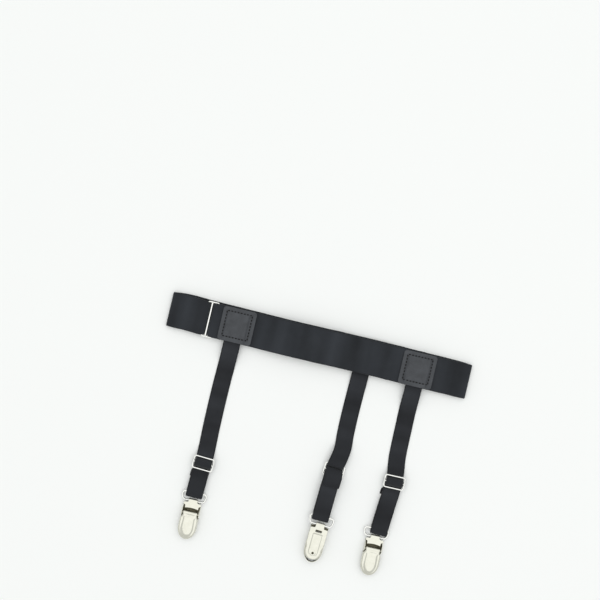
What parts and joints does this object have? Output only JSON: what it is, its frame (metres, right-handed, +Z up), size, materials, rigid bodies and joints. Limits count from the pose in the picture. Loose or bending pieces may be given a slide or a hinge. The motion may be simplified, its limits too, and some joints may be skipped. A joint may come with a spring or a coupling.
{
  "type": "shirt stay",
  "caption": "Elastic thigh garter lying flat, with adjustable straps under leather patches, each ending in a metal clip that grips a shirt's hem.",
  "frame": {"origin": "middle of the bounding box, on the surface that the garter lies on", "axes": "+X along the thigh band, -Y towards the clips, +Z up from the surface"},
  "size_m": [0.265, 0.206, 0.0086],
  "materials": {
    "elastic": "woven elastic, dark grey to black, soft sheen",
    "leather": "smooth dark grey, slightly glossy, black stitching",
    "nickel": "bright plated steel",
    "clear_plastic": "clear, toothed"
  },
  "bodies": {
    "garter": {"thigh_band": "elastic", "band_slide": "nickel", "patch_left": "leather", "strap_left": "elastic", "slide_left": "nickel", "ring_left": "nickel", "patch_middle": "leather", "strap_middle": "elastic", "slide_middle": "nickel", "ring_middle": "nickel", "patch_right": "leather", "strap_right": "elastic", "slide_right": "nickel", "ring_right": "nickel"},
    "clip_left": {"clip_plate_left": "nickel", "clip_pad_left": "clear_plastic"},
    "lever_left": {"clip_lever_left": "nickel"},
    "clip_middle": {"clip_plate_middle": "nickel", "clip_pad_middle": "clear_plastic"},
    "lever_middle": {"clip_lever_middle": "nickel"},
    "clip_right": {"clip_plate_right": "nickel", "clip_pad_right": "clear_plastic"},
    "lever_right": {"clip_lever_right": "nickel"}
  },
  "joints": [
    {"name": "clip_swing_left", "type": "hinge", "parent": "garter", "child": "clip_left", "pos_m": [-0.075, -0.06983, 0.0019], "axis": [-1, -0.007, 0], "range_deg": [0, 60]},
    {"name": "lever_hinge_left", "type": "hinge", "parent": "clip_left", "child": "lever_left", "pos_m": [-0.07493, -0.08043, 0.0044], "axis": [-1, -0.007, 0], "range_deg": [0, 95]},
    {"name": "clip_swing_middle", "type": "hinge", "parent": "garter", "child": "clip_middle", "pos_m": [0.0361, -0.06413, 0.0061], "axis": [-0.999, 0.0454, 0], "range_deg": [0, 60]},
    {"name": "lever_hinge_middle", "type": "hinge", "parent": "clip_middle", "child": "lever_middle", "pos_m": [0.03562, -0.07472, 0.0036], "axis": [0.999, -0.0454, 0], "range_deg": [0, 95]},
    {"name": "clip_swing_right", "type": "hinge", "parent": "garter", "child": "clip_right", "pos_m": [0.0847, -0.06423, 0.0019], "axis": [-0.9999, -0.014, 0], "range_deg": [0, 60]},
    {"name": "lever_hinge_right", "type": "hinge", "parent": "clip_right", "child": "lever_right", "pos_m": [0.08485, -0.07483, 0.0044], "axis": [-0.9999, -0.014, 0], "range_deg": [0, 95]}
  ]
}
